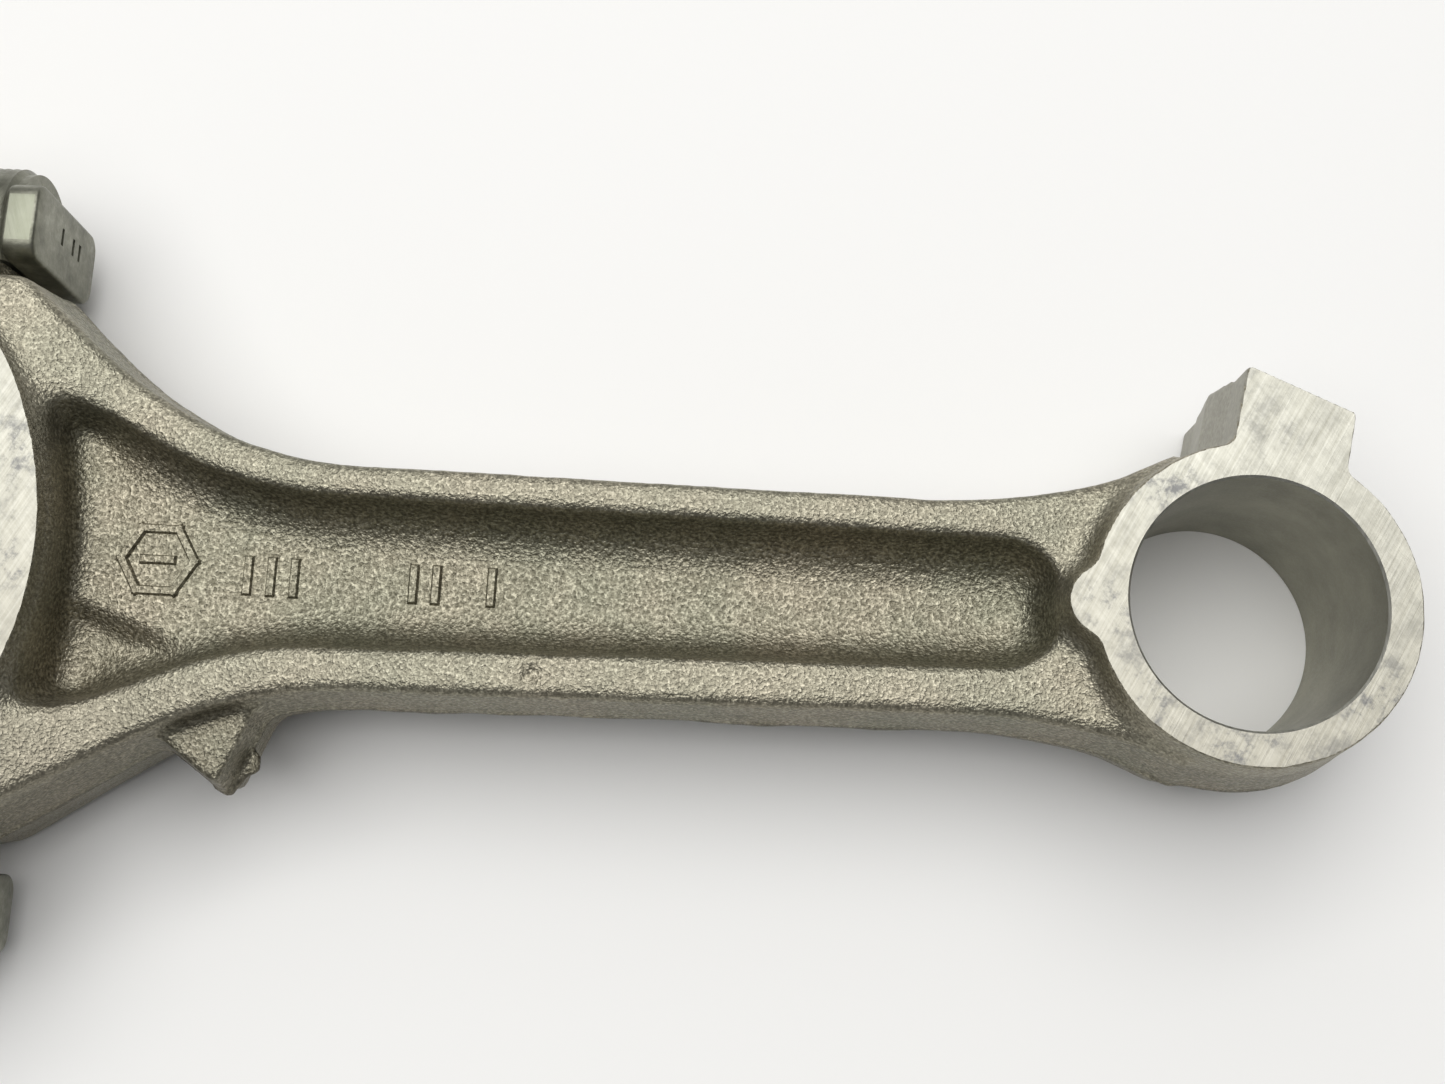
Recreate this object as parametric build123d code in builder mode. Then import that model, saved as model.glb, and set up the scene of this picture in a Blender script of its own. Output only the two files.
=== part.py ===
from build123d import *
import os
from math import radians, sqrt, tan

os.makedirs("parts", exist_ok=True)

# A forged V8 connecting rod, in millimetres. The origin is the centre of the big-end bore, +X runs
# along the rod to the small end and +Z is the crank axis. The forging is symmetric about its die
# parting plane, Z = 0, and the rod and its cap meet at X = 0.

# Driving dimensions
centre_distance = 144.78        # 5.700 in, big-end bore to pin bore
rod_width = 23.9                # across the machined side faces of both ends
pin_bore = 23.54                # the piston pin is pressed in
crank_bore = 56.5               # bored for the bearing shells
journal_bore = 53.4             # inside the fitted shells
bolt_spacing = 68.6
bolt_diameter = 9.5
draft = 6                       # lean of every forged wall, degrees
service_gap = 0.05              # radial gap between parts that slide apart at service
small_chamfer = 0.5
fit_check = 0.001               # edges this close to a bore radius belong to that bore

# Forged beam, sizes at the parting plane
flange_height = 8.0             # half the depth of the I-section
web_half = 2.4                  # half the thickness of the web
beam_half = 10.5                # half width where the neck begins
shoulder_foot = (26, -28.4)
foot_blend = 4
shoulder_corner = (51.8, -11.4)
shoulder_blend = 42
neck_blend = 60
edge_round = 1.0

# Channels of the I-section, sizes at their mouth
channel_corner = (28.0, -18.0)
channel_turn = (53.0, -7.8)
channel_end = (121.5, -6.5)
channel_blend = 38
channel_draft = 14
channel_floor_round = 2.2
channel_mouth_round = 3.0
ring_root = 34.0                # the channel stops at the big-end ring

# Big end
ring_radius = 32.3              # outside of the machined side face
boss_reach = 41.6               # outer side of the bolt bosses
boss_shoulder = 23.4            # end of the wall that stops the bolt head turning
boss_round = 3.0
head_wall = 29.6                # that wall, from the rod's centre plane
bolt_seat = 17.5                # bolt head seats, and nut seats on the cap
spot_radius = 8.7               # spot faces under the nuts
cap_boss = 19.0                 # depth of the cap's bolt bosses as forged
cap_pad_depth = 42.0            # balance pad under the cap
cap_pad_half = 11.0
cap_round = 4.0
joint_overlap = 20              # rod and cap are forged past their joint, then parted
tang_width = 4.0                # notches that hold the bearing shells
tang_depth = 0.9
tang_length = 3.0
tang_offset = 6.0               # from the middle of the width
tang_gap = 0.1

# Small end
eye_radius = 15.1               # outside of the machined side face
nub_centre = 14.6               # locating nub, from the pin centre toward the beam
nub_radius = 2.9
pad_corners = [(-4.4, 4.0), (6.9, 4.0), (9.4, 18.4), (-0.7, 22.1)]   # balance pad, from the pin

# Locating lug on one flank
lug_foot = (38.5, -14.0)
lug_tip = (48.6, -21.6)
lug_heel = (57.0, -10.0)
lug_height = 5.0
lug_round = 2.0

# Bolts and nuts
head_thickness = 9.0
head_plate = 2.8                # oblong end of the bolt head
head_length = 15.0
head_half = 4.1
collar_radius = 7.0             # round part of the head under the oblong end
nut_height = 8.6
nut_flats = 14.2875             # 9/16 in
thread_stand_out = 2.6
thread_chamfer = 0.8
head_corner = 1.2

# Bearing shells
shell_width = 21.4
shell_gap = 0.02                # each shell clears its housing

side = rod_width / 2
bolt_y = bolt_spacing / 2
shank_radius = bolt_diameter / 2
hole_radius = shank_radius + service_gap
lean = side * tan(radians(draft))
eye_root = eye_radius + lean
neck_run = sqrt((neck_blend + eye_root) ** 2 - (neck_blend + beam_half) ** 2)
neck_x = centre_distance - neck_run
eye_share = eye_root / (eye_root + neck_blend)
neck_foot = (centre_distance - neck_run * eye_share, -(neck_blend + beam_half) * eye_share)
big_end_root = ring_radius + lean
boss_root = boss_reach + lean
bolt_end = -bolt_seat - nut_height - thread_stand_out


def cross(point):
    """A line straight across the rod, from a point to its mirror image."""
    Line(point, (point[0], -point[1]))


def housing_bore():
    """Big-end bore with a chamfer at each side face."""
    with BuildSketch(Plane.XY) as bore:
        Circle(crank_bore / 2)
    extrude(bore.sketch, amount=rod_width, both=True, mode=Mode.SUBTRACT)
    for end in (1, -1):
        with BuildSketch(Plane.XY.offset(end * (side - small_chamfer))) as mouth:
            Circle(crank_bore / 2)
        extrude(mouth.sketch, amount=end * 2 * small_chamfer, taper=-45, mode=Mode.SUBTRACT)


def bolt_holes():
    """Holes for both bolts, right through."""
    with BuildSketch(Plane.YZ) as holes:
        with Locations((bolt_y, 0), (-bolt_y, 0)):
            Circle(hole_radius)
    extrude(holes.sketch, amount=2 * cap_pad_depth, both=True, mode=Mode.SUBTRACT)


def tang_notch(facing):
    """Notch beside the joint that takes the tang of the bearing shell."""
    with Locations((facing * tang_length / 2, crank_bore / 2, tang_offset)):
        Box(tang_length, 2 * tang_depth, tang_width, mode=Mode.SUBTRACT)


# Channel cutter for one side of the I-section
with BuildPart() as channel:
    with BuildSketch(Plane.XY.offset(flange_height)) as mouth_plan:
        with BuildLine():
            rim = FilletPolyline(channel_corner, channel_turn, channel_end, radius=channel_blend)
            mirror(rim, about=Plane.XZ)
            RadiusArc(channel_end, (channel_end[0], -channel_end[1]), channel_end[1])
            cross(channel_corner)
        make_face()
        Circle(ring_root, mode=Mode.SUBTRACT)
        fillet(mouth_plan.vertices().group_by(Axis.X)[0], radius=channel_mouth_round)
    extrude(amount=web_half - flange_height, taper=channel_draft)
    fillet(channel.edges().group_by(Axis.Z)[0], radius=channel_floor_round)

with BuildPart() as rod_body:
    # Beam, shoulders and neck
    with BuildSketch(Plane.XY):
        with BuildLine():
            flank = FilletPolyline(
                (-joint_overlap, shoulder_foot[1]), shoulder_foot, shoulder_corner,
                (neck_x, -beam_half),
                radius=[foot_blend, shoulder_blend],
            )
            neck = RadiusArc((neck_x, -beam_half), neck_foot, neck_blend)
            mirror(flank, about=Plane.XZ)
            mirror(neck, about=Plane.XZ)
            cross(neck_foot)
            cross((-joint_overlap, shoulder_foot[1]))
        make_face()
    extrude(amount=flange_height, taper=draft)
    flange_rims = rod_body.edges().group_by(Axis.Z)[-1]
    fillet([edge for edge in flange_rims if abs(edge.center().Y) > 1], radius=edge_round)

    # Locating lug
    with BuildSketch(Plane.XY):
        with BuildLine():
            FilletPolyline(lug_foot, lug_tip, lug_heel, radius=lug_round)
            Line(lug_heel, lug_foot)
        make_face()
    extrude(amount=lug_height, taper=draft)

    # Big end: ring and bolt bosses
    with BuildSketch(Plane.XY):
        Circle(big_end_root)
        with BuildLine():
            boss = FilletPolyline(
                (-joint_overlap, -boss_root), (bolt_seat, -boss_root),
                (boss_shoulder, -head_wall), (boss_shoulder, 0),
                radius=boss_round,
            )
            mirror(boss, about=Plane.XZ)
            cross((-joint_overlap, -boss_root))
        make_face()
    extrude(amount=side, taper=draft)

    # Small end: eye and nub, then the balance pad
    with BuildSketch(Plane.XY):
        with Locations((centre_distance, 0)):
            Circle(eye_root)
        with Locations((centre_distance - nub_centre, 0)):
            Circle(nub_radius + lean)
    extrude(amount=side, taper=draft)
    with BuildSketch(Plane.XY):
        with BuildLine(Plane((centre_distance, 0, 0))):
            Polyline(*pad_corners, close=True)
        make_face()
        offset(amount=lean, kind=Kind.INTERSECTION)
    extrude(amount=side, taper=draft)

    # Channel, then the other die's half
    add(channel.part, mode=Mode.SUBTRACT)
    mirror(about=Plane.XY)

    # Bolt head seats, with the walls that stop the heads turning
    with BuildSketch(Plane.YZ.offset(bolt_seat)):
        with Locations((head_wall + boss_root / 2, 0), (-head_wall - boss_root / 2, 0)):
            Rectangle(boss_root, 2 * rod_width)
    extrude(amount=boss_root, mode=Mode.SUBTRACT)

    # Bores and the joint face
    housing_bore()
    bolt_holes()
    with Locations((centre_distance, 0)):
        Hole(pin_bore / 2)
    split(bisect_by=Plane.YZ)
    tang_notch(1)
    pin_rims = rod_body.edges().filter_by(GeomType.CIRCLE)
    chamfer([rim for rim in pin_rims if abs(rim.radius - pin_bore / 2) < fit_check], length=small_chamfer)
rod_body.part.label = "rod_body"
export_step(rod_body.part, "parts/rod_body.step")

with BuildPart() as rod_cap:
    # Ring, bolt bosses and balance pad
    with BuildSketch(Plane.XY) as cap_plan:
        Circle(big_end_root)
        with Locations(((joint_overlap - cap_boss) / 2, 0)):
            Rectangle(joint_overlap + cap_boss, 2 * boss_root)
        with Locations((-(cap_pad_depth + lean) / 2, 0)):
            Rectangle(cap_pad_depth + lean, 2 * cap_pad_half)
        fillet(cap_plan.vertices().filter_by(lambda v: v.X < 0), radius=cap_round)
    extrude(amount=side, taper=draft)
    mirror(about=Plane.XY)

    # Spot faces for the nuts
    with BuildSketch(Plane.YZ.offset(-bolt_seat)):
        with Locations((bolt_y, 0), (-bolt_y, 0)):
            Circle(spot_radius)
    extrude(amount=-cap_pad_depth, mode=Mode.SUBTRACT)
    housing_bore()
    bolt_holes()
    split(bisect_by=Plane.YZ, keep=Keep.BOTTOM)
    tang_notch(-1)
rod_cap.part.label = "rod_cap"
export_step(rod_cap.part, "parts/rod_cap.step")

# Bearing shells, one in the rod and one in the cap
for name, facing in (("bearing_shell_rod", 1), ("bearing_shell_cap", -1)):
    with BuildPart() as shell:
        with BuildSketch(Plane.XY):
            Circle(crank_bore / 2 - shell_gap)
            Circle(journal_bore / 2, mode=Mode.SUBTRACT)
            with Locations((facing * crank_bore / 2, 0)):
                Rectangle(crank_bore, 2 * crank_bore, mode=Mode.INTERSECT)
        extrude(amount=shell_width / 2, both=True)
        tang_run = tang_length - tang_gap
        with Locations((facing * tang_run / 2, crank_bore / 2, tang_offset)):
            Box(tang_run, 2 * (tang_depth - tang_gap), tang_width - 2 * tang_gap)
    shell.part.label = name
    export_step(shell.part, f"parts/{name}.step")

# Bolts and nuts, one pair on the side of the balance pad and one on the side of the lug
for name, hand in (("pad_side", 1), ("lug_side", -1)):
    with BuildPart() as bolt:
        with BuildSketch(Plane.YZ.offset(bolt_end)):
            with Locations((hand * bolt_y, 0)):
                Circle(shank_radius)
        extrude(amount=bolt_seat - bolt_end)
        chamfer(bolt.edges().group_by(Axis.X)[0], length=thread_chamfer)
        with BuildSketch(Plane.YZ.offset(bolt_seat)):
            with Locations((hand * bolt_y, 0)):
                Circle(collar_radius)
            with Locations((hand * (bolt_y + collar_radius - head_half), 0)):
                Rectangle(2 * collar_radius, head_length, mode=Mode.INTERSECT)
        extrude(amount=head_thickness - head_plate)
        with BuildSketch(Plane.YZ.offset(bolt_seat + head_thickness - head_plate)):
            with Locations((hand * bolt_y, 0)):
                RectangleRounded(2 * head_half, head_length, head_corner)
        extrude(amount=head_plate)
        chamfer(bolt.edges().group_by(Axis.X)[-1], length=small_chamfer)
    bolt.part.label = f"rod_bolt_{name}"
    export_step(bolt.part, f"parts/rod_bolt_{name}.step")

    with BuildPart() as nut:
        with BuildSketch(Plane.YZ.offset(-bolt_seat)):
            with Locations((hand * bolt_y, 0)):
                RegularPolygon(nut_flats / 2, 6, major_radius=False)
        extrude(amount=-nut_height)
        with BuildSketch(Plane.YZ.offset(-bolt_seat)):
            with Locations((hand * bolt_y, 0)):
                Circle(hole_radius)
        extrude(amount=-nut_height, mode=Mode.SUBTRACT)
    nut.part.label = f"rod_nut_{name}"
    export_step(nut.part, f"parts/rod_nut_{name}.step")
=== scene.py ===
from math import atan2, cos, pi, radians, sin, sqrt, tan

import bmesh
import bpy
import numpy as np
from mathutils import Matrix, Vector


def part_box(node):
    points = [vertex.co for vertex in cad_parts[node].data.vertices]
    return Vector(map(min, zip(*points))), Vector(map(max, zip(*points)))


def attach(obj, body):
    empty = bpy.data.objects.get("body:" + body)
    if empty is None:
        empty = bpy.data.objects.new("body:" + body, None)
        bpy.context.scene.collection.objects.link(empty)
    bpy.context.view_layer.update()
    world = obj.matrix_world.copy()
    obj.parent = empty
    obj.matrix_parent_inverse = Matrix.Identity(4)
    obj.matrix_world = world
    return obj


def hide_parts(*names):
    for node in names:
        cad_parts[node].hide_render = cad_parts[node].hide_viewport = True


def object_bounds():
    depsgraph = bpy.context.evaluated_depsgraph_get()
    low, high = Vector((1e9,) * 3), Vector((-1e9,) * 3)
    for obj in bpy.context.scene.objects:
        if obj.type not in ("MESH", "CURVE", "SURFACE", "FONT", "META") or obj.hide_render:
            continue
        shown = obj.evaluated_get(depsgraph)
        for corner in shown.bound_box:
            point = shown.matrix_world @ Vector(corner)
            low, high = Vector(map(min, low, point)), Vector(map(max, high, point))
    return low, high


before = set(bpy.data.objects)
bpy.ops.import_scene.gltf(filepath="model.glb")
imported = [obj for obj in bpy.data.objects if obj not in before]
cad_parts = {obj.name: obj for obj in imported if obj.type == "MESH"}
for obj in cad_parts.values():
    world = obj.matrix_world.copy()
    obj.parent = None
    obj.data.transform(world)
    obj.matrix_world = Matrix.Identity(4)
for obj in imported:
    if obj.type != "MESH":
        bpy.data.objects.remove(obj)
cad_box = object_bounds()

import openvdb
from mathutils import Matrix, Vector

# A forged connecting rod. The forging is a distance field in millimetres, turned into a mesh and then
# machined with booleans, as the real one is. +X runs to the small end and +Z is the crank axis.

MM = 0.001
VOXEL = 0.35

# Driving sizes, mm
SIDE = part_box("rod_body")[1].z / MM
CENTRES = 144.78
PIN_RADIUS = 11.77
BORE_RADIUS = 28.25
DRAFT = tan(radians(6))
LEAN = SIDE * DRAFT
BOLT_Y = 34.3
BOLT_SEAT = 17.5
HEAD_WALL = 29.6
BOSS_HALF = 41.4                 # bolt boss, out from the centre plane
SHANK_RADIUS = 4.75
HOLE_RADIUS = 4.8
THREAD_PITCH = 1.058
THREAD_DEPTH = 0.62
STOCK = 0.2                      # forged stock above the machined faces
RING_RADIUS = 32.3
EYE_RADIUS = 15.1
HEAD_THICKNESS = 9.0
BOLT_END = -28.7
NUT_HEIGHT = 8.6
NUT_FLATS = 14.2875

# Stains on the side faces: x, y, radius
STAINS = [
    (131, -1.4, 4), (134, -9.5, 5), (136.7, 11, 5), (143, -13.4, 6), (156, -9.8, 7),
    (28.8, 9, 5), (30.3, -1.5, 4),
]

# Scrap of flash on the locating lug, and the small end's balance pad from the pin centre
FLASH_OUTLINE = [(47.6, -20.6), (49.3, -21.4), (50.7, -19.4), (51.7, -18.8), (51.6, -17.4), (50.2, -16.6)]
PAD_OUTLINE = [(-0.7, 22.7), (9.4, 18.4), (6.9, 4.0), (-4.4, 4.0)]


# ---------------------------------------------------------------- distance fields

def smax(a, b, r):
    """Larger of two fields, with a rounded edge of radius about r."""
    h = np.clip(0.5 + 0.5 * (a - b) / r, 0, 1)
    return b + (a - b) * h + r * h * (1 - h)


def smin(a, b, r):
    """Union of two fields, with a fillet of radius about r."""
    return -smax(-a, -b, r)


def arc(centre, radius, start, end, steps=16):
    """Points of an arc, angles in degrees."""
    turns = np.radians(np.linspace(start, end, steps))
    return [(centre[0] + radius * cos(t), centre[1] + radius * sin(t)) for t in turns]


def rounded(points, radii, steps=14):
    """An open or closed outline with its corners rounded by tangent arcs."""
    out = []
    count = len(points)
    for i, (point, radius) in enumerate(zip(points, radii)):
        if radius == 0:
            out.append(point)
            continue
        here = Vector(point)
        back = (Vector(points[i - 1]) - here).normalized()
        ahead = (Vector(points[(i + 1) % count]) - here).normalized()
        half = back.angle(ahead) / 2
        reach = radius / tan(half)
        middle = here + (back + ahead).normalized() * radius / sin(half)
        first = here + back * reach - middle
        last = here + ahead * reach - middle
        turn = first.angle_signed(last)
        for k in range(steps):
            spoke = first.copy()
            spoke.rotate(Matrix.Rotation(-turn * k / (steps - 1), 2))
            out.append(tuple(middle + spoke))
    return out


def outline_field(points, x, y):
    """Signed distance to a closed outline, negative inside, on a plan grid."""
    far = np.full(np.broadcast(x, y).shape, 1e9, np.float32)
    inside = np.zeros(far.shape, bool)
    for (ax, ay), (bx, by) in zip(points, points[1:] + points[:1]):
        dx, dy = bx - ax, by - ay
        length = dx * dx + dy * dy
        if length < 1e-12:
            continue
        t = np.clip(((x - ax) * dx + (y - ay) * dy) / length, 0, 1)
        far = np.minimum(far, (x - ax - t * dx) ** 2 + (y - ay - t * dy) ** 2)
        if dy != 0:
            crosses = ((ay <= y) & (y < by)) | ((by <= y) & (y < ay))
            inside ^= crosses & (x < ax + (y - ay) * dx / dy)
    return np.where(inside, -1, 1) * np.sqrt(far)


def mirrored(points):
    """The outline on the other side of the rod's centre plane, run backwards."""
    return [(x, -y) for x, y in reversed(points)]


def both_sides(points):
    """A closed outline from the half on one side of the rod's centre plane."""
    return points + mirrored(points)


def plan_grid(x_range, y_range):
    """Plan coordinates, as a column and a row, and the heights above the parting plane."""
    x = np.arange(*x_range, VOXEL, dtype=np.float32)[:, None]
    y = np.arange(*y_range, VOXEL, dtype=np.float32)[None, :]
    z = np.arange(0, SIDE + 2, VOXEL, dtype=np.float32)
    return x, y, z


def smooth_step(t):
    t = np.clip(t, 0, 1)
    return t * t * (3 - 2 * t)


def prism(plan, z, top, edge, lean=DRAFT):
    """A plan field raised to a height, with leaning walls and a rounded rim. Sizes are at Z = 0."""
    return smax(plan[..., None] + lean * z, z - top[..., None], edge)


def lattice_noise(points, cell, seed):
    """Smooth noise between -1 and 1 at many points, on a random lattice."""
    values = np.random.default_rng(seed).uniform(-1, 1, (64, 64, 64)).astype(np.float32)
    scaled = points / cell + 1000
    base = np.floor(scaled).astype(int)
    t = scaled - base
    t = t * t * (3 - 2 * t)
    total = 0
    for corner in np.ndindex(2, 2, 2):
        index = (base + corner) % 64
        weight = np.prod(np.where(corner, t, 1 - t), axis=1)
        total = total + weight * values[index[:, 0], index[:, 1], index[:, 2]]
    return total


def field_mesh(name, field, x, y, seed):
    """Mesh of the zero surface of a half field mirrored in the parting plane, roughened as forged."""
    whole = np.concatenate([field[..., :0:-1], field], axis=2)
    grid = openvdb.FloatGrid(background=3.0)
    grid.copyFromArray(np.ascontiguousarray(np.clip(whole, -3, 3)))
    points, quads = grid.convertToQuads(0)
    low = np.array([x[0, 0], y[0, 0], -(field.shape[2] - 1) * VOXEL])
    points = points * VOXEL + low
    mesh = bpy.data.meshes.new(name)
    mesh.from_pydata(points, [], quads)
    mesh.update()
    normals = np.zeros(len(points) * 3, np.float32)
    mesh.vertices.foreach_get("normal", normals)
    normals = normals.reshape(-1, 3)
    rough = 0.07 * lattice_noise(points, 9.0, seed) + 0.04 * lattice_noise(points, 3.1, seed + 1)
    rough += 0.03 * lattice_noise(points, 0.9, seed + 2)
    wall = 1 - np.abs(normals[:, 2])
    seam = np.exp(-((points[:, 2] - 0.25 * lattice_noise(points, 11.0, seed + 3)) / 0.5) ** 2)
    rough += wall * seam * (0.14 + 0.12 * lattice_noise(points, 4.0, seed + 4))
    calm = smooth_step((points[:, 1] - 14) / 3) * smooth_step((points[:, 0] - 136) / 3)
    points += normals * (rough * (1 - 0.8 * calm))[:, None]
    points = np.clip(points, np.array(cad_box[0]) / MM - [0, 0, 9], np.array(cad_box[1]) / MM + [0, 0, 9])
    mesh.vertices.foreach_set("co", points.astype(np.float32).ravel())
    mesh.update()
    return new_object(name, mesh)


def new_object(name, mesh):
    piece = bpy.data.objects.new(name, mesh)
    bpy.context.scene.collection.objects.link(piece)
    return piece


# ---------------------------------------------------------------- the rod forging

def rod_field():
    x, y, z = plan_grid((-3, 166), (-47, 47))
    flat = np.zeros(np.broadcast(x, y).shape, np.float32)
    from_bore = np.hypot(x, y) + flat
    from_pin = np.hypot(x - CENTRES, y) + flat

    # Beam with its shoulders and neck
    pad_flank = flank((27.6, 27.8), (46.2, 11.05), 10.2, 39)
    lug_flank = flank((26, 27.4), (50.0, 12.4), 11.8, 42)
    beam = outline_field(pad_flank + mirrored(lug_flank), x, y)
    flange = 8.0 + 3.0 * smooth_step((41 - x) / 16) + flat
    body = prism(beam, z, flange, 1.1)

    # Locating lug, on one flank only, with a scrap of flash at the parting line
    left = side_of((43.4, -16.4), (48.8, -20.3), x, y)[..., None] + 0.16 * (z - 5)
    right = side_of((49.2, -20.4), (51.9, -13.7), x, y)[..., None] + 0.06 * (z - 5)
    lug = smax(smax(left, right, 0.8), z - 5.1, 0.35)
    body = smin(body, np.maximum(lug, (y + 8 + 0 * x)[..., None]), 1.2)
    flash = outline_field(FLASH_OUTLINE, x, y)
    body = smin(body, np.maximum(flash[..., None], z - 0.4), 0.4)

    # Channel, open to the ring at the big end
    rim = rounded([(20, 22.8), (48.5, 7.4), (121.8, 5.9)], [0, 40, 0])
    rim += arc((121.8, -0.35), 6.25, 90, -90)[1:]
    lower_rim = rounded([(20, 21.0), (50.5, 7.7), (121.8, 6.6)], [0, 38, 0])
    rim += mirrored(lower_rim)[1:]
    sides = outline_field(rim, x, y)[..., None] + tan(radians(14)) * (flange[..., None] - z)
    end = (RING_RADIUS - from_bore)[..., None] + 0.05 * (SIDE - z)
    web = web_height(x, y)
    floor_round = 1.1 + 2.9 * smooth_step((from_bore - 35.5) / 5)
    pocket = smax(smax(sides, end, 7.5), web[..., None] - z, floor_round[..., None])
    body = smax(body, -pocket, 0.9)
    nick = np.sqrt((x - 78.2) ** 2 + (y + 9.3) ** 2 + 0 * flat)[..., None]
    body = smax(body, 1.5 - np.sqrt(nick ** 2 + (z - 9.1) ** 2), 0.3)

    # Big-end ring and bolt bosses
    top = SIDE + STOCK + flat
    ring = prism(from_bore - RING_RADIUS - 0.05 * SIDE, z, top, 0.5, 0.05)
    boss = [(-20, BOSS_HALF + LEAN), (BOLT_SEAT, BOSS_HALF + LEAN), (23.4, HEAD_WALL), (23.4, 0)]
    boss = outline_field(both_sides(rounded(boss, [0, 3, 3, 0])), x, y)
    big_end = smin(ring, prism(boss, z, top, 0.6), 1.5)
    body = smin(body, big_end, 2.0)

    # Small-end eye with its nub and balance pad
    eye_root = EYE_RADIUS + LEAN
    nub = np.hypot(x - CENTRES + 14.0, y + 0.45) - 3.35 - LEAN
    eye = prism(smin(from_pin - eye_root, nub, 1.1), z, top, 0.6)
    pad = outline_field([(CENTRES + px, py) for px, py in PAD_OUTLINE], x, y)[..., None]
    pad = smax(pad - DRAFT * (7 - z).clip(0), z - top[..., None], 0.6)
    body = smin(body, smin(eye, pad, 0.7), 2.2)
    return body, x, y


def flank(foot, corner, beam_half, corner_round):
    """One flank of the beam in plan at the parting plane, from the bolt boss to the eye."""
    neck_blend, eye_root = 60, EYE_RADIUS + LEAN
    neck_run = sqrt((neck_blend + eye_root) ** 2 - (neck_blend + beam_half) ** 2)
    neck_x = CENTRES - neck_run
    foot_angle = np.degrees(atan2(-(neck_blend + beam_half), neck_run))
    run = [(-20, foot[1]), foot, corner, (neck_x, beam_half), (CENTRES, 5)]
    points = rounded(run, [0, 4, corner_round, 0, 0])[:-1]
    return points + arc((neck_x, neck_blend + beam_half), neck_blend, -90, foot_angle)[1:]


def web_height(x, y):
    """The web rises into a hump at the big end, with a deeper pocket below it, and flares up to the ring."""
    ridge = 6.2 + 0.36 * (x - 38)
    hump = 1.5 * smooth_step((56 - x) / 16) * smooth_step((ridge + 1.4 + y) / 3.2)
    return 2.4 + hump + 1.2 * np.clip((37.0 - np.hypot(x, y)) / 4, 0, 1) ** 2


def side_of(start, end, x, y):
    """Signed distance from a line, positive to its right."""
    dx, dy = end[0] - start[0], end[1] - start[1]
    return ((x - start[0]) * dy - (y - start[1]) * dx) / sqrt(dx * dx + dy * dy)


def raised_line(start, end, width=0.6, height=0.4):
    """A raised line on the web with sloping sides."""
    start, end = Vector(start), Vector(end)
    along = (end - start).normalized()
    across = Vector((-along.y, along.x))
    shape = bmesh.new()
    rows = []
    for lift, grow in ((-0.6, 0.5), (height, 0)):
        half = width / 2 + grow
        corners = [start - along * half - across * half, end + along * half - across * half,
                   end + along * half + across * half, start - along * half + across * half]
        rows.append([shape.verts.new((c.x, c.y, web_height(c.x, c.y) + lift)) for c in corners])
    for k in range(4):
        shape.faces.new([rows[0][k], rows[0][(k + 1) % 4], rows[1][(k + 1) % 4], rows[1][k]])
    shape.faces.new(rows[0][::-1])
    shape.faces.new(rows[1])
    bmesh.ops.triangulate(shape, faces=shape.faces)
    return mesh_from(shape)


def forging_marks():
    """Generic raised marks on the web: a hexagon round a bar, and three groups of bars."""
    cx, cy, size = 41.0, 0.7, 3.5
    corners = [(cx + size * cos(k * pi / 3), cy + size * sin(k * pi / 3)) for k in range(7)]
    lines = list(zip(corners, corners[1:]))
    lines.append(((cx - 1.3, cy), (cx + 1.3, cy)))
    for x, count in ((49.6, 3), (65.6, 2), (73.2, 1)):
        lines += [((x + 2.2 * k, -1.8), (x + 2.2 * k, 1.2)) for k in range(count)]
    return [raised_line(start, end) for start, end in lines]


# ---------------------------------------------------------------- machining

def box_cutter(low, high):
    """A box between two corners, mm."""
    low, high = Vector(low), Vector(high)
    shape = bmesh.new()
    bmesh.ops.create_cube(shape, size=1)
    middle = Matrix.Translation((low + high) / 2)
    bmesh.ops.transform(shape, matrix=middle @ Matrix.Diagonal((*(high - low), 1)), verts=shape.verts)
    return mesh_from(shape)


def lathe(profile, place=Matrix.Identity(4), steps=192):
    """A closed turned solid. The profile is (radius, height) from the axis round to the axis, mm."""
    shape = bmesh.new()
    rings = []
    for radius, height in profile:
        if radius == 0:
            rings.append([shape.verts.new((0, 0, height))])
        else:
            turns = [2 * pi * k / steps for k in range(steps)]
            rings.append([shape.verts.new((radius * cos(t), radius * sin(t), height)) for t in turns])
    for lower, upper in zip(rings, rings[1:]):
        for k in range(steps):
            corners = [lower[k % len(lower)], lower[(k + 1) % len(lower)],
                       upper[(k + 1) % len(upper)], upper[k % len(upper)]]
            shape.faces.new(list(dict.fromkeys(corners)))
    bmesh.ops.recalc_face_normals(shape, faces=shape.faces)
    bmesh.ops.transform(shape, matrix=place, verts=shape.verts)
    return mesh_from(shape)


def mesh_from(shape):
    mesh = bpy.data.meshes.new("shape")
    shape.to_mesh(mesh)
    shape.free()
    return mesh


def cut(piece, cutters, operation="DIFFERENCE"):
    """Cut a closed mesh with other closed meshes."""
    tools = []
    for mesh in cutters:
        tool = new_object("cutter", mesh)
        tools.append(tool)
        step = piece.modifiers.new("cut", "BOOLEAN")
        step.object = tool
        step.operation = operation
        step.solver = "MANIFOLD"
    graph = bpy.context.evaluated_depsgraph_get()
    done = bpy.data.meshes.new_from_object(piece.evaluated_get(graph))
    piece.modifiers.clear()
    piece.data = done
    shape = bmesh.new()
    shape.from_mesh(done)
    bmesh.ops.triangulate(shape, faces=[face for face in shape.faces if len(face.verts) > 4])
    shape.to_mesh(done)
    shape.free()
    for tool in tools:
        bpy.data.objects.remove(tool)


def along_x(x, y, turned=1):
    """Placement of a turned solid whose axis runs along X, mm."""
    return Matrix.Translation(Vector((x, y, 0))) @ Matrix.Rotation(turned * pi / 2, 4, "Y")


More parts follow.
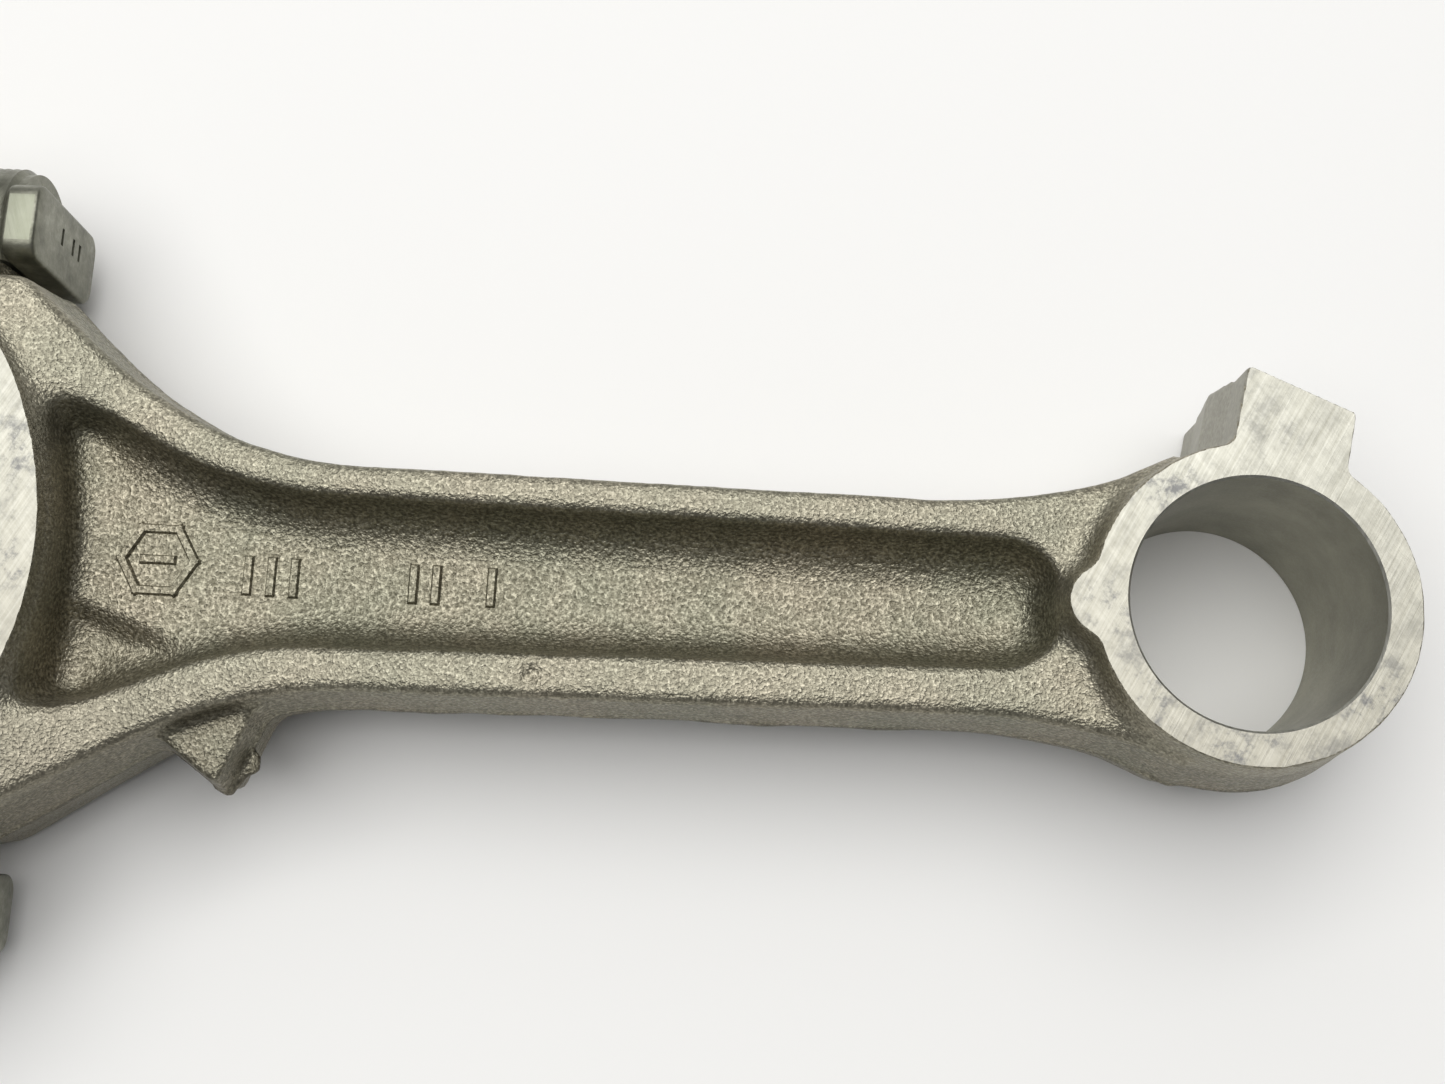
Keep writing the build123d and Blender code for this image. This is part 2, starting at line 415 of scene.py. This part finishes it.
def bore_profile(radius, chamfer):
    """Cutter for a bore between the side faces, chamfered at both."""
    reach = SIDE + 2
    wide = radius + chamfer + 2
    straight = SIDE - chamfer
    return [(0, -reach), (wide, -reach), (radius, -straight), (radius, straight), (wide, reach), (0, reach)]


def joint_edges():
    """Cutters that break the edges of the joint faces, so the parting of rod and cap shows as a fine line."""
    mesh = box_cutter((-0.2, -60, -0.2), (0.2, 60, 0.2))
    mesh.transform(Matrix.Rotation(pi / 4, 4, "Y"))
    edges = [mesh.copy(), mesh]
    for edge, level in zip(edges, (SIDE, -SIDE)):
        edge.transform(Matrix.Translation((0, 0, level)))
    return edges


def machine_sides():
    """Slabs above and below the finished side faces."""
    spans = ((SIDE, SIDE + 5), (-SIDE - 5, -SIDE))
    return [box_cutter((-60, -60, low), (180, 60, high)) for low, high in spans]


def faces_of(mesh):
    """Centres in mm and normals of all faces."""
    centres = np.zeros(len(mesh.polygons) * 3, np.float32)
    normals = np.zeros(len(mesh.polygons) * 3, np.float32)
    mesh.polygons.foreach_get("center", centres)
    mesh.polygons.foreach_get("normal", normals)
    return centres.reshape(-1, 3), normals.reshape(-1, 3)


def paint(piece, materials, index):
    piece.data.materials.clear()
    for material in materials:
        piece.data.materials.append(material)
    piece.data.polygons.foreach_set("material_index", index.astype(np.int32))


def smooth(piece, degrees):
    piece.data.shade_smooth()
    piece.data.set_sharp_from_angle(angle=radians(degrees))


def forging_finish(piece, bores):
    """Machined faces get their own materials; the rest stays as forged. Ends in metres."""
    at, facing = faces_of(piece.data)
    index = np.zeros(len(at), int)
    for cx, radius in bores:
        away = np.hypot(at[:, 0] - cx, at[:, 1])
        index[(away < radius + 0.7) & (np.abs(facing[:, 2]) < 0.9)] = 2
        index[(index == 2) & (np.abs(facing[:, 2]) > 0.3)] = 3
    pad = (at[:, 1] > 15.5) & (at[:, 0] > 139)
    index[pad & (np.abs(facing[:, 2]) < 0.5)] = 4
    for y in bolt_rows:
        index[np.hypot(at[:, 1] - y, at[:, 2]) < HOLE_RADIUS + 0.02] = 3
    level = np.abs(facing) > 0.999
    index[(np.abs(at[:, 2]) > SIDE - 0.01) & level[:, 2]] = 1
    seat = (np.abs(at[:, 0]) < 0.01) | (np.abs(np.abs(at[:, 0]) - BOLT_SEAT) < 0.01)
    index[seat & level[:, 0]] = 3
    index[(np.abs(np.abs(at[:, 1]) - HEAD_WALL) < 0.01) & level[:, 1]] = 3
    paint(piece, [forged_steel, ground_steel, bored_steel, milled_steel, trimmed_steel], index)
    smooth(piece, 40)
    piece.data.polygons.foreach_set("use_smooth", ~((index % 2 == 1) & level.any(axis=1)))
    piece.data.transform(Matrix.Scale(MM, 4))


# ---------------------------------------------------------------- the cap forging

def cap_field():
    x, y, z = plan_grid((-46, 3), (-47, 47))
    flat = np.zeros(np.broadcast(x, y).shape, np.float32)
    from_bore = np.hypot(x, y) + flat
    top = SIDE + STOCK + flat
    ring = prism(from_bore - RING_RADIUS - LEAN, z, top, 0.5)
    boss = [(20, BOSS_HALF + LEAN), (-19, BOSS_HALF + LEAN), (-19, 24), (-10, 0)]
    boss = outline_field(both_sides(rounded(boss, [0, 3.5, 3.0, 0])), x, y)
    pad = outline_field(both_sides(rounded([(-20, 11), (-41.8 - LEAN, 11)], [0, 0])), x, y)
    body = smin(ring, prism(boss, z, top, 0.6), 2.5)
    return smin(body, prism(pad, z, top, 0.8), 4.0), x, y


# ---------------------------------------------------------------- bolts and nuts

def thread(radius, pitch, depth, start, end, place, steps=48):
    """A threaded rod along the lathe axis, chamfered where it starts."""
    rows = int((end - start) / pitch * 8)
    shape = bmesh.new()
    grid = []
    for i in range(rows + 1):
        h = start + (end - start) * i / rows
        ring = []
        for k in range(steps):
            t = 2 * pi * k / steps
            crest = abs(2 * (((h - start) / pitch - k / steps) % 1) - 1)
            r = radius - depth * (1 - np.clip(1.35 * crest - 0.15, 0, 1)) * min(1, (end - h) / pitch)
            r = min(r, radius - 0.8 + h - start)
            ring.append(shape.verts.new((r * cos(t), r * sin(t), h)))
        grid.append(ring)
    for lower, upper in zip(grid, grid[1:]):
        for k in range(steps):
            shape.faces.new([lower[k], lower[(k + 1) % steps], upper[(k + 1) % steps], upper[k]])
    shape.faces.new(grid[0][::-1])
    shape.faces.new(grid[-1])
    bmesh.ops.transform(shape, matrix=place, verts=shape.verts)
    return mesh_from(shape)


def rounded_plate(low, high, corner, edge):
    """A box with its edges along X rounded by corner and the others by edge, mm."""
    mesh = box_cutter(low, high)
    shape = bmesh.new()
    shape.from_mesh(mesh)
    bpy.data.meshes.remove(mesh)
    along = [e for e in shape.edges if abs(e.verts[0].co.x - e.verts[1].co.x) > 0.1]
    bmesh.ops.bevel(shape, geom=along, offset=corner, segments=8, profile=0.5, affect="EDGES")
    ends = [e for e in shape.edges if abs(e.verts[0].co.x - e.verts[1].co.x) < 0.01
            and len(e.link_faces) == 2 and e.calc_face_angle() > 1.2]
    bmesh.ops.bevel(shape, geom=ends, offset=edge, segments=3, profile=0.5, affect="EDGES")
    return mesh_from(shape)


def make_bolt(name, hand):
    """Rod bolt: threaded shank, turned collar stopped by the wall, oblong end with a ground facet."""
    y = hand * BOLT_Y
    under = BOLT_SEAT + HEAD_THICKNESS - 3.4
    top = BOLT_SEAT + HEAD_THICKNESS
    shank = [(0, -8), (SHANK_RADIUS, -8), (SHANK_RADIUS, BOLT_SEAT + 1), (0, BOLT_SEAT + 1)]
    bolt = new_object(name, lathe(shank, along_x(0, y), 96))
    grooves = [(7.0 - 0.10 * (k % 2), BOLT_SEAT + 0.5 + 0.45 * k) for k in range(11)]
    waist = [(6.5, under), (6.5, under + 0.8), (0, under + 0.8)]
    turned = [(0, BOLT_SEAT), (6.6, BOLT_SEAT), *grooves, *waist]
    collar = new_object("collar", lathe(turned, along_x(0, y), 96))
    inner = sorted((hand * 20, hand * (HEAD_WALL + 0.35)))
    cut(collar, [box_cutter((10, inner[0], -20), (40, inner[1], 20))])
    reach = sorted((hand * (HEAD_WALL + 0.1), hand * (HEAD_WALL + 7.9)))
    plate = rounded_plate((under, reach[0], -8.0), (top, reach[1], 8.0), 1.9, 0.45)
    rod_end = thread(SHANK_RADIUS, THREAD_PITCH, THREAD_DEPTH, BOLT_END, -7, along_x(0, y))
    cut(bolt, [collar.data.copy(), plate, rod_end], "UNION")
    bpy.data.objects.remove(collar)
    mid = hand * (HEAD_WALL + 4.6)
    bars = [((top - 0.25, mid - 0.9, z - 0.28), (top + 1, mid + 0.9, z + 0.28)) for z in (-3.4, -1.7, 1.2)]
    cut(bolt, [box_cutter(low, high) for low, high in bars])
    at, facing = faces_of(bolt.data)
    facet = (at[:, 2] > 7.9) & (facing[:, 2] > 0.99)
    paint(bolt, [bolt_steel, worn_steel], facet.astype(int))
    smooth(bolt, 35)
    bolt.data.transform(Matrix.Scale(MM, 4))
    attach(bolt, "rod")
    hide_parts("rod_bolt_" + name.split("_", 1)[1])


def make_nut(name, hand):
    """Hexagon nut with both ends chamfered and a countersunk thread."""
    place = along_x(-BOLT_SEAT, hand * BOLT_Y, -1)
    blank = lathe([(0, 0), (NUT_FLATS / sqrt(3), 0), (NUT_FLATS / sqrt(3), NUT_HEIGHT), (0, NUT_HEIGHT)],
                  place @ Matrix.Rotation(pi / 6, 4, "Z"), 6)
    nut = new_object(name, blank)
    top = NUT_HEIGHT
    turned = [(0, 0), (6.7, 0), (6.7, 0.3), (7.1, 0.35), (8.4, 1.0), (8.4, top - 0.75), (7.0, top), (0, top)]
    cut(nut, [lathe(turned, place, 96)], "INTERSECT")
    hole = [(0, -1), (5.9, -1), (4.8, 0.4), (4.8, top - 0.4), (5.9, top + 0.7), (0, top + 0.7)]
    cut(nut, [lathe(hole, place, 96)])
    paint(nut, [bolt_steel], np.zeros(len(nut.data.polygons), int))
    smooth(nut, 30)
    nut.data.transform(Matrix.Scale(MM, 4))
    body = name.replace("visual_", "")
    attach(nut, body)
    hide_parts("rod_" + body)


# ---------------------------------------------------------------- materials

def new_material(name):
    material = bpy.data.materials.new(name)
    material.use_nodes = True
    nodes = material.node_tree.nodes
    shader = nodes["Principled BSDF"]
    where = nodes.new("ShaderNodeTexCoord")
    return material, nodes, material.node_tree.links, shader, where.outputs["Object"]


def noise(nodes, links, where, size_mm, detail=3.0, rough=0.6, stretch=None):
    """Noise whose features are about size_mm across."""
    if stretch is not None:
        mapping = nodes.new("ShaderNodeMapping")
        mapping.vector_type = "TEXTURE"
        mapping.inputs["Rotation"].default_value = (0, 0, radians(stretch[0]))
        mapping.inputs["Scale"].default_value = (1, stretch[1], 1)
        links.new(where, mapping.inputs["Vector"])
        where = mapping.outputs["Vector"]
    node = nodes.new("ShaderNodeTexNoise")
    node.inputs["Scale"].default_value = 1000 / size_mm
    node.inputs["Detail"].default_value = detail
    node.inputs["Roughness"].default_value = rough
    links.new(where, node.inputs["Vector"])
    return node.outputs["Fac"]


def ramp(nodes, links, value, *stops):
    """Colours along a value: (position, (r, g, b))."""
    node = nodes.new("ShaderNodeValToRGB")
    while len(node.color_ramp.elements) < len(stops):
        node.color_ramp.elements.new(0.5)
    for element, (position, colour) in zip(node.color_ramp.elements, stops):
        element.position = position
        element.color = (*colour, 1)
    links.new(value, node.inputs["Fac"])
    return node.outputs["Color"]


def mix(nodes, links, share, a, b, kind="MIX"):
    node = nodes.new("ShaderNodeMix")
    node.data_type = "RGBA"
    node.blend_type = kind
    for socket, value in ((node.inputs[0], share), (node.inputs[6], a), (node.inputs[7], b)):
        if isinstance(value, bpy.types.NodeSocket):
            links.new(value, socket)
        elif isinstance(value, tuple):
            socket.default_value = (*value, 1)
        else:
            socket.default_value = value
    return node.outputs[2]


def spread(nodes, links, value, low, high, floor=0.0, top=1.0):
    """Map a value from low..high to floor..top."""
    node = nodes.new("ShaderNodeMapRange")
    links.new(value, node.inputs["Value"])
    for name, number in (("From Min", low), ("From Max", high), ("To Min", floor), ("To Max", top)):
        node.inputs[name].default_value = number
    return node.outputs["Result"]


def math(nodes, links, kind, *values):
    node = nodes.new("ShaderNodeMath")
    node.operation = kind
    for socket, value in zip(node.inputs, values):
        if isinstance(value, bpy.types.NodeSocket):
            links.new(value, socket)
        else:
            socket.default_value = value
    return node.outputs[0]


def bump(nodes, links, shader, layers):
    """Stack of bumps: (height, depth in mm)."""
    last = None
    for height, depth in layers:
        node = nodes.new("ShaderNodeBump")
        node.inputs["Distance"].default_value = depth * MM
        links.new(height, node.inputs["Height"])
        if last is not None:
            links.new(last, node.inputs["Normal"])
        last = node.outputs["Normal"]
    links.new(last, shader.inputs["Normal"])


def forged_material():
    """Shot-blasted forging: glinting grain over an olive-grey scale, a trimmed parting line darkened partly
    with painted shade, painted shade on the -Y side, and rubbed wear with a painted highlight on the flange
    tops.
    """
    material, nodes, links, shader, where = new_material("forged_steel")
    grain = noise(nodes, links, where, 0.36, 1.5, 0.6)
    fine = noise(nodes, links, where, 0.2, 1.0, 0.5)
    patch = noise(nodes, links, where, 12, 3.0, 0.6)
    scale = [(0.32, (0.14, 0.13, 0.10)), (0.50, (0.245, 0.23, 0.185)), (0.68, (0.44, 0.415, 0.345))]
    tone = ramp(nodes, links, grain, *scale)
    warm = ramp(nodes, links, patch, (0.35, (0.84, 0.86, 0.78)), (0.65, (1.0, 0.96, 0.88)))
    tone = mix(nodes, links, 1.0, tone, warm, "MULTIPLY")
    split = nodes.new("ShaderNodeSeparateXYZ")
    links.new(where, split.inputs[0])
    # dark band along the parting line: the trimmed flash line, widened with painted shade under its ridge
    wander = spread(nodes, links, noise(nodes, links, where, 7, 2.0, 0.5), 0, 1, -0.3 * MM, 0.3 * MM)
    off = math(nodes, links, "ABSOLUTE", math(nodes, links, "ADD", split.outputs["Z"], wander))
    line = spread(nodes, links, off, 0.12 * MM, 0.42 * MM, 0.6, 0)
    tone = mix(nodes, links, line, tone, (0.05, 0.045, 0.035))
    # painted shade: the -Y side of the forging is darkened towards a dark olive from Y = -9 mm outwards
    painted_shade = spread(nodes, links, split.outputs["Y"], -20 * MM, -9 * MM, 0.45, 0)
    tone = mix(nodes, links, painted_shade, tone, (0.11, 0.10, 0.075))
    # flange tops lightened by height: rubbed wear together with a painted highlight
    height = math(nodes, links, "ABSOLUTE", split.outputs["Z"])
    rub_and_highlight = spread(nodes, links, height, 6.8 * MM, 8.2 * MM, 0, 0.17)
    tone = mix(nodes, links, rub_and_highlight, tone, (0.58, 0.54, 0.43))
    links.new(tone, shader.inputs["Base Color"])
    shader.inputs["Metallic"].default_value = 0.9
    links.new(spread(nodes, links, fine, 0.3, 0.7, 0.36, 0.56), shader.inputs["Roughness"])
    bump(nodes, links, shader, [(grain, 0.17), (fine, 0.055)])
    return material


def ground_material():
    """Side faces ground flat, then stained in patches, with painted shade darkening them towards -Y."""
    material, nodes, links, shader, where = new_material("ground_steel")
    lines = noise(nodes, links, where, 0.25, 2.0, 0.7, stretch=(-28, 40))
    cross = noise(nodes, links, where, 0.35, 2.0, 0.7, stretch=(40, 30))
    stain = noise(nodes, links, where, 3.0, 6.0, 0.75)
    wide = noise(nodes, links, where, 16, 2.0, 0.5)
    base = ramp(nodes, links, lines, (0.25, (0.35, 0.34, 0.285)), (0.75, (0.49, 0.48, 0.42)))
    scratches = ramp(nodes, links, cross, (0.3, (0.72, 0.72, 0.70)), (0.7, (1, 1, 1)))
    base = mix(nodes, links, 0.35, base, scratches, "MULTIPLY")
    split = nodes.new("ShaderNodeSeparateXYZ")
    links.new(where, split.inputs[0])
    # painted shade: the ground side faces darken towards -Y
    painted_shade = spread(nodes, links, split.outputs["Y"], -14 * MM, 14 * MM, 0.42, 0)
    base = mix(nodes, links, painted_shade, base, (0.26, 0.235, 0.185))
    marks = ramp(nodes, links, stain, (0.50, (0, 0, 0)), (0.62, (1, 1, 1)))
    reach = None
    for x, y, radius in STAINS:
        away = nodes.new("ShaderNodeVectorMath")
        away.operation = "DISTANCE"
        links.new(where, away.inputs[0])
        away.inputs[1].default_value = Vector((x, y, SIDE)) * MM
        near = spread(nodes, links, away.outputs["Value"], 0.3 * radius * MM, radius * MM, 0.85, 0)
        reach = near if reach is None else math(nodes, links, "MAXIMUM", reach, near)
    rest = spread(nodes, links, wide, 0.52, 0.7, 0, 0.45)
    marks = mix(nodes, links, 1.0, marks, math(nodes, links, "MAXIMUM", reach, rest), "MULTIPLY")
    base = mix(nodes, links, marks, base, (0.16, 0.16, 0.16))
    links.new(base, shader.inputs["Base Color"])
    shader.inputs["Metallic"].default_value = 0.85
    links.new(spread(nodes, links, stain, 0.4, 0.8, 0.38, 0.6), shader.inputs["Roughness"])
    bump(nodes, links, shader, [(lines, 0.02), (cross, 0.01)])
    return material


def bored_material():
    """Honed bore walls, satin grey-green."""
    material, nodes, links, shader, where = new_material("bored_steel")
    lines = noise(nodes, links, where, 0.3, 3.0, 0.7)
    patch = noise(nodes, links, where, 6, 3.0, 0.6)
    tone = ramp(nodes, links, patch, (0.3, (0.25, 0.245, 0.19)), (0.7, (0.36, 0.35, 0.28)))
    links.new(tone, shader.inputs["Base Color"])
    shader.inputs["Metallic"].default_value = 0.85
    links.new(spread(nodes, links, lines, 0.3, 0.7, 0.34, 0.48), shader.inputs["Roughness"])
    bump(nodes, links, shader, [(lines, 0.02)])
    return material


def milled_material(name, dark, light, angle, roughness):
    """Joint faces, bolt seats and trimmed walls, with tool lines along one direction."""
    material, nodes, links, shader, where = new_material(name)
    lines = noise(nodes, links, where, 0.5, 3.0, 0.7, stretch=(angle, 20))
    patch = noise(nodes, links, where, 2.5, 3.0, 0.6)
    tone = ramp(nodes, links, lines, (0.3, dark), (0.7, light))
    worn = ramp(nodes, links, patch, (0.3, (0.7, 0.7, 0.66)), (0.7, (1, 1, 1)))
    tone = mix(nodes, links, 0.5, tone, worn, "MULTIPLY")
    links.new(tone, shader.inputs["Base Color"])
    shader.inputs["Metallic"].default_value = 0.85
    links.new(spread(nodes, links, lines, 0.3, 0.7, roughness, roughness + 0.15), shader.inputs["Roughness"])
    bump(nodes, links, shader, [(lines, 0.03)])
    return material


def bolt_material():
    """Heat-treated bolt steel, brownish grey."""
    material, nodes, links, shader, where = new_material("bolt_steel")
    fine = noise(nodes, links, where, 0.5, 4.0, 0.65)
    patch = noise(nodes, links, where, 3.0, 4.0, 0.65)
    scale = [(0.3, (0.13, 0.13, 0.10)), (0.55, (0.22, 0.22, 0.175)), (0.75, (0.36, 0.36, 0.30))]
    tone = ramp(nodes, links, patch, *scale)
    links.new(tone, shader.inputs["Base Color"])
    shader.inputs["Metallic"].default_value = 0.85
    links.new(spread(nodes, links, fine, 0.3, 0.7, 0.32, 0.5), shader.inputs["Roughness"])
    bump(nodes, links, shader, [(fine, 0.04), (patch, 0.06)])
    return material


def shell_material():
    """Soft grey overlay of a bearing shell."""
    material, nodes, links, shader, where = new_material("bearing_metal")
    fine = noise(nodes, links, where, 0.4, 3.0, 0.6)
    patch = noise(nodes, links, where, 8.0, 3.0, 0.6)
    tone = ramp(nodes, links, patch, (0.3, (0.46, 0.46, 0.45)), (0.7, (0.62, 0.62, 0.60)))
    links.new(tone, shader.inputs["Base Color"])
    shader.inputs["Metallic"].default_value = 0.9
    links.new(spread(nodes, links, fine, 0.3, 0.7, 0.28, 0.42), shader.inputs["Roughness"])
    bump(nodes, links, shader, [(fine, 0.01)])
    return material


forged_steel = forged_material()
ground_steel = ground_material()
bored_steel = bored_material()
milled_steel = milled_material("milled_steel", (0.45, 0.44, 0.38), (0.66, 0.65, 0.58), 0, 0.32)
trimmed_steel = milled_material("trimmed_steel", (0.27, 0.26, 0.225), (0.46, 0.45, 0.39), 70, 0.42)
worn_steel = milled_material("worn_steel", (0.28, 0.29, 0.22), (0.44, 0.45, 0.36), 20, 0.5)
bolt_steel = bolt_material()
bearing_metal = shell_material()


# ---------------------------------------------------------------- pieces

bolt_rows = (BOLT_Y, -BOLT_Y)
housing = lathe(bore_profile(BORE_RADIUS, 0.4))
hole = [(0, -60), (HOLE_RADIUS, -60), (HOLE_RADIUS, 60), (0, 60)]
holes = [lathe(hole, along_x(0, y), 64) for y in bolt_rows]

rod = field_mesh("rod_forging", *rod_field(), 11)
cut(rod, forging_marks(), "UNION")
seats = [
    box_cutter((BOLT_SEAT, HEAD_WALL, -20), (40, 60, 20)),
    box_cutter((BOLT_SEAT, -60, -20), (40, -HEAD_WALL, 20)),
]
joint = box_cutter((-60, -60, -20), (0, 60, 20))
pin_bore = lathe(bore_profile(PIN_RADIUS, 0.22), Matrix.Translation((CENTRES, 0, 0)))
cut(rod, [joint, *machine_sides(), *joint_edges(), housing, pin_bore, *seats, *holes])
forging_finish(rod, [(0, BORE_RADIUS), (CENTRES, PIN_RADIUS)])
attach(rod, "rod")
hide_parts("rod_body")

cap = field_mesh("cap_forging", *cap_field(), 37)
spots = [lathe([(0, 0), (8.7, 0), (8.7, 30), (0, 30)], along_x(-BOLT_SEAT, y, -1), 96) for y in bolt_rows]
cut(cap, [box_cutter((0, -60, -20), (60, 60, 20)), *machine_sides(), *joint_edges(), housing, *holes, *spots])
forging_finish(cap, [(0, BORE_RADIUS)])
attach(cap, "cap")
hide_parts("rod_cap")

for hand, side in ((1, "pad_side"), (-1, "lug_side")):
    make_bolt(f"bolt_{side}", hand)
    make_nut(f"visual_nut_{side}", hand)

for name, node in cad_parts.items():
    if name.startswith("bearing_shell"):
        node.data.materials.clear()
        node.data.materials.append(bearing_metal)


# ---------------------------------------------------------------- floor, light and camera

def stage():
    mesh = bpy.data.meshes.new("floor")
    size, level = 3.0, -SIDE * MM
    corners = [(-size, -size, level), (size, -size, level), (size, size, level), (-size, size, level)]
    mesh.from_pydata(corners, [], [(0, 1, 2, 3)])
    floor = new_object("floor", mesh)
    material, nodes, links, shader, where = new_material("pale_floor")
    shader.inputs["Base Color"].default_value = (0.82, 0.812, 0.79, 1)
    shader.inputs["Roughness"].default_value = 0.9
    mesh.materials.append(material)


def area_light(name, place, target, size, power, colour=(1, 1, 1)):
    light = bpy.data.lights.new(name, "AREA")
    light.shape = "RECTANGLE"
    light.size, light.size_y = size
    light.energy = power
    light.color = colour
    lamp = bpy.data.objects.new(name, light)
    lamp.location = place
    lamp.rotation_euler = (Vector(target) - Vector(place)).to_track_quat("-Z", "Y").to_euler()
    bpy.context.scene.collection.objects.link(lamp)


def camera():
    """The photographed view: above the beam, leaning back from the near side."""
    data = bpy.data.cameras.new("camera")
    data.sensor_width = 36
    data.lens = 43.62
    data.clip_start = 0.01
    view = bpy.data.objects.new("camera", data)
    right = Vector((0.9988, 0.0479, -0.0043))
    down = Vector((0.0460, -0.9775, -0.2057))
    ahead = Vector((-0.0141, 0.2053, -0.9786))
    turn = Matrix((right, -down, -ahead)).transposed()
    view.matrix_world = Matrix.Translation(Vector((97.8, -29.77, 169.65)) * MM) @ turn.to_4x4()
    bpy.context.scene.collection.objects.link(view)
    bpy.context.scene.camera = view


stage()
camera()
centre = (0.09, 0, 0)
area_light("softbox", (0.0, 0.20, 1.0), centre, (1.5, 1.0), 14.1)
area_light("window", (-0.1, 0.80, 0.75), centre, (1.2, 0.7), 3.0)
world = bpy.data.worlds.new("studio")
world.use_nodes = True
world.node_tree.nodes["Background"].inputs["Color"].default_value = (0.93, 0.95, 1.0, 1)
world.node_tree.nodes["Background"].inputs["Strength"].default_value = 0.13
bpy.context.scene.world = world
bpy.context.scene.view_settings.view_transform = "Standard"
